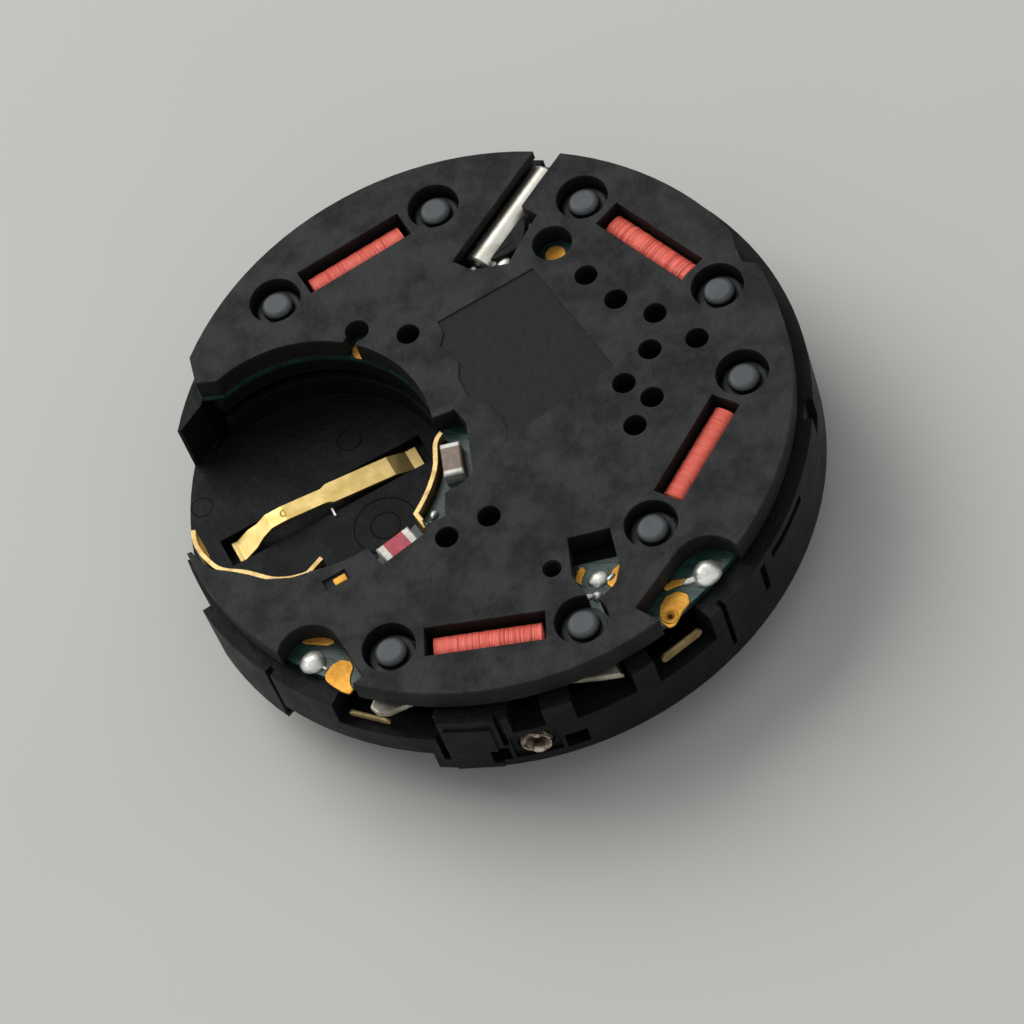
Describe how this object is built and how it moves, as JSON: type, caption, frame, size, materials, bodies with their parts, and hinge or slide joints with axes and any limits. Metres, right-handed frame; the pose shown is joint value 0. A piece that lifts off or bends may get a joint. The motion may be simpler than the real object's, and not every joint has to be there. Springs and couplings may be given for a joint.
{
  "type": "quartz watch movement",
  "caption": "Round quartz chronograph movement with an open battery pocket, coil windows, gold contacts, gear trains and hand posts on the dial side.",
  "frame": {"origin": "centre axis of the movement, in the plane on which the dial lies", "axes": "+Z towards the battery side, away from the dial; -Y out along the stem; -X towards the battery"},
  "size_m": [0.0234, 0.0239, 0.0065],
  "materials": {
    "black_plastic": "satin moulded",
    "board_green": "solder mask over glass laminate",
    "coil_red": "enamelled copper wire",
    "post_steel": "blued grey, domed",
    "gold": "gold flash",
    "silver_steel": "bare sheet",
    "can_metal": "nickel plated can",
    "solder": "bright solder",
    "wheel_plastic": "moulded",
    "wheel_brass": "turned",
    "pinion_steel": "turned",
    "magnet": "sintered",
    "soft_iron": "stamped",
    "capacitor_tan": "ceramic body with tinned ends",
    "diode_red": "red body with tinned ends",
    "chip_black": "moulded"
  },
  "bodies": {
    "frame": {"main_plate": "black_plastic", "train_bridge": "black_plastic", "circuit_board": "board_green", "circuit_cover": "black_plastic", "coil_posts": "post_steel", "dial_side_plate": "silver_steel", "dial_screws": "pinion_steel", "coil_winding_1": "coil_red", "coil_winding_2": "coil_red", "coil_winding_3": "coil_red", "coil_winding_4": "coil_red", "coil_core_1": "soft_iron", "coil_core_2": "soft_iron", "coil_core_3": "soft_iron", "coil_core_4": "soft_iron", "stator_1": "soft_iron", "stator_2": "soft_iron", "stator_3": "soft_iron", "stator_4": "soft_iron", "pusher_plate_left": "silver_steel", "pusher_plate_right": "silver_steel", "quartz_crystal": "can_metal", "ic_chip": "chip_black", "chip_capacitor": "capacitor_tan", "red_diode": "diode_red", "board_pads": "gold", "solder_joints": "solder", "stem_bush": "silver_steel"},
    "rotor_1": {"rotor_pinion_1": "pinion_steel", "rotor_magnet_1": "magnet"},
    "rotor_2": {"rotor_pinion_2": "pinion_steel", "rotor_magnet_2": "magnet"},
    "rotor_3": {"rotor_pinion_3": "pinion_steel", "rotor_magnet_3": "magnet"},
    "rotor_4": {"rotor_pinion_4": "pinion_steel", "rotor_magnet_4": "magnet"},
    "intermediate_1": {"intermediate_wheel_1": "wheel_plastic"},
    "intermediate_2": {"intermediate_wheel_2": "wheel_plastic"},
    "intermediate_3": {"intermediate_wheel_3": "wheel_plastic"},
    "intermediate_4": {"intermediate_wheel_4": "wheel_plastic"},
    "idler_3": {"idler_wheel_3": "wheel_plastic"},
    "counter_9": {"counter_wheel_9": "wheel_brass"},
    "counter_6": {"counter_wheel_6": "wheel_brass"},
    "small_seconds": {"small_seconds_wheel": "wheel_brass"},
    "chronograph_seconds": {"chronograph_seconds_wheel": "wheel_brass"},
    "third": {"third_wheel": "wheel_brass"},
    "centre": {"centre_wheel": "wheel_brass"},
    "cannon": {"cannon_pinion": "pinion_steel"},
    "minute": {"minute_wheel": "wheel_brass"},
    "hour": {"hour_wheel": "wheel_brass"},
    "transfer": {"setting_transfer_wheel": "wheel_brass"},
    "setting": {"setting_wheel": "pinion_steel"},
    "sliding_pinion": {"sliding_pinion": "pinion_steel"},
    "yoke": {"yoke": "silver_steel"},
    "setting_lever": {"setting_lever": "silver_steel"},
    "negative_contact": {"negative_contact": "gold"},
    "positive_contact_left": {"positive_contact_left": "gold"},
    "positive_contact_right": {"positive_contact_right": "gold"},
    "pusher_contact_left": {"pusher_contact_left": "gold"},
    "pusher_contact_right": {"pusher_contact_right": "gold"}
  },
  "joints": [
    {"name": "rotor_1_spin", "type": "hinge", "parent": "frame", "child": "rotor_1", "pos_m": [-0.00263, 0.00575, 0.0022], "axis": [0, 0, 1], "continuous": true},
    {"name": "rotor_2_spin", "type": "hinge", "parent": "frame", "child": "rotor_2", "pos_m": [0.00512, 0.00403, 0.0022], "axis": [0, 0, 1], "continuous": true},
    {"name": "rotor_3_spin", "type": "hinge", "parent": "frame", "child": "rotor_3", "pos_m": [0.00547, -0.00195, 0.0022], "axis": [0, 0, 1], "continuous": true},
    {"name": "rotor_4_spin", "type": "hinge", "parent": "frame", "child": "rotor_4", "pos_m": [-0.00056, -0.00652, 0.0022], "axis": [0, 0, 1], "continuous": true},
    {"name": "intermediate_1_spin", "type": "hinge", "parent": "frame", "child": "intermediate_1", "pos_m": [-0.0015, 0.0045, 0.0022], "axis": [0, 0, 1], "continuous": true},
    {"name": "intermediate_2_spin", "type": "hinge", "parent": "frame", "child": "intermediate_2", "pos_m": [0.00475, 0.00196, 0.0022], "axis": [0, 0, 1], "continuous": true},
    {"name": "intermediate_3_spin", "type": "hinge", "parent": "frame", "child": "intermediate_3", "pos_m": [0.00315, -0.00246, 0.0022], "axis": [0, 0, 1], "continuous": true},
    {"name": "intermediate_4_spin", "type": "hinge", "parent": "frame", "child": "intermediate_4", "pos_m": [-0.00132, -0.00544, 0.0022], "axis": [0, 0, 1], "continuous": true},
    {"name": "idler_3_spin", "type": "hinge", "parent": "frame", "child": "idler_3", "pos_m": [0.00155, -0.00192, 0.0017], "axis": [0, 0, 1], "continuous": true},
    {"name": "counter_9_spin", "type": "hinge", "parent": "frame", "child": "counter_9", "pos_m": [0, 0.0055, 0.00195], "axis": [0, 0, 1], "continuous": true},
    {"name": "counter_6_spin", "type": "hinge", "parent": "frame", "child": "counter_6", "pos_m": [0.0055, 0, 0.00195], "axis": [0, 0, 1], "continuous": true},
    {"name": "small_seconds_spin", "type": "hinge", "parent": "frame", "child": "small_seconds", "pos_m": [0, -0.0055, 0.00195], "axis": [0, 0, 1], "continuous": true},
    {"name": "chronograph_seconds_spin", "type": "hinge", "parent": "frame", "child": "chronograph_seconds", "pos_m": [0, 0, 0.0017], "axis": [0, 0, 1], "continuous": true},
    {"name": "third_spin", "type": "hinge", "parent": "frame", "child": "third", "pos_m": [-0.00059, -0.0031, 0.00072], "axis": [0, 0, 1], "continuous": true},
    {"name": "centre_spin", "type": "hinge", "parent": "frame", "child": "centre", "pos_m": [0, 0, 0.00054], "axis": [0, 0, 1], "continuous": true},
    {"name": "cannon_spin", "type": "hinge", "parent": "frame", "child": "cannon", "pos_m": [0, 0, 0.00036], "axis": [0, 0, 1], "continuous": true},
    {"name": "minute_spin", "type": "hinge", "parent": "frame", "child": "minute", "pos_m": [0.0008, -0.00139, 0.00036], "axis": [0, 0, 1], "continuous": true},
    {"name": "hour_spin", "type": "hinge", "parent": "frame", "child": "hour", "pos_m": [0, 0, 0.00018], "axis": [0, 0, 1], "continuous": true},
    {"name": "transfer_spin", "type": "hinge", "parent": "frame", "child": "transfer", "pos_m": [0.0022, -0.00399, 0.00036], "axis": [0, 0, 1], "continuous": true},
    {"name": "setting_spin", "type": "hinge", "parent": "frame", "child": "setting", "pos_m": [0.0012, -0.00635, 0.00036], "axis": [0, 0, 1], "continuous": true},
    {"name": "setting_lever_pivot", "type": "hinge", "parent": "frame", "child": "setting_lever", "pos_m": [-0.0027, -0.008, 0.0016], "axis": [0, 0, -1], "range_deg": [0, 10]},
    {"name": "sliding_pinion_slide", "type": "slide", "parent": "frame", "child": "sliding_pinion", "axis": [0, 1, 0], "range_m": [0, 0.00035]},
    {"name": "yoke_pivot", "type": "hinge", "parent": "frame", "child": "yoke", "pos_m": [0.0034, -0.0074, 0.0016], "axis": [0, 0, -1], "range_deg": [0, 7.05]},
    {"name": "negative_contact_flex", "type": "hinge", "parent": "frame", "child": "negative_contact", "pos_m": [-0.00283, 0.00142, 0.001], "axis": [0.3233, -0.9463, 0], "range_deg": [0, 1.8], "stiffness_Nm_per_rad": 0.002},
    {"name": "positive_contact_left_flex", "type": "hinge", "parent": "frame", "child": "positive_contact_left", "pos_m": [-0.00625, -0.00425, 0.0035], "axis": [0, 0, 1], "range_deg": [0, 1.5], "stiffness_Nm_per_rad": 0.002},
    {"name": "positive_contact_right_flex", "type": "hinge", "parent": "frame", "child": "positive_contact_right", "pos_m": [-0.0024, -0.00395, 0.0035], "axis": [0, 0, -1], "range_deg": [0, 2], "stiffness_Nm_per_rad": 0.002},
    {"name": "pusher_contact_left_flex", "type": "hinge", "parent": "frame", "child": "pusher_contact_left", "pos_m": [-0.00555, -0.00868, 0.003], "axis": [0, 0, 1], "range_deg": [0, 5], "stiffness_Nm_per_rad": 0.002},
    {"name": "pusher_contact_right_flex", "type": "hinge", "parent": "frame", "child": "pusher_contact_right", "pos_m": [0.00573, -0.00856, 0.003], "axis": [0, 0, -1], "range_deg": [0, 5], "stiffness_Nm_per_rad": 0.002}
  ],
  "couplings": [
    {"joint": "intermediate_1_spin", "follows": "rotor_1_spin", "ratio": -0.16667},
    {"joint": "counter_9_spin", "follows": "rotor_1_spin", "ratio": 0.033333},
    {"joint": "intermediate_2_spin", "follows": "rotor_2_spin", "ratio": -0.16667},
    {"joint": "counter_6_spin", "follows": "rotor_2_spin", "ratio": 0.033333},
    {"joint": "intermediate_3_spin", "follows": "rotor_3_spin", "ratio": -0.13333},
    {"joint": "idler_3_spin", "follows": "rotor_3_spin", "ratio": 0.024242},
    {"joint": "chronograph_seconds_spin", "follows": "rotor_3_spin", "ratio": -0.033333},
    {"joint": "intermediate_4_spin", "follows": "rotor_4_spin", "ratio": -0.22222},
    {"joint": "small_seconds_spin", "follows": "rotor_4_spin", "ratio": 0.083333},
    {"joint": "third_spin", "follows": "rotor_4_spin", "ratio": -0.0083333},
    {"joint": "centre_spin", "follows": "rotor_4_spin", "ratio": 0.0013889},
    {"joint": "minute_spin", "follows": "cannon_spin", "ratio": -0.33333},
    {"joint": "hour_spin", "follows": "cannon_spin", "ratio": 0.083333},
    {"joint": "transfer_spin", "follows": "cannon_spin", "ratio": 0.22727},
    {"joint": "setting_spin", "follows": "cannon_spin", "ratio": -0.5},
    {"joint": "setting_lever_pivot", "follows": "sliding_pinion_slide", "rad_per_m": 498.67},
    {"joint": "yoke_pivot", "follows": "sliding_pinion_slide", "rad_per_m": 351.56}
  ]
}
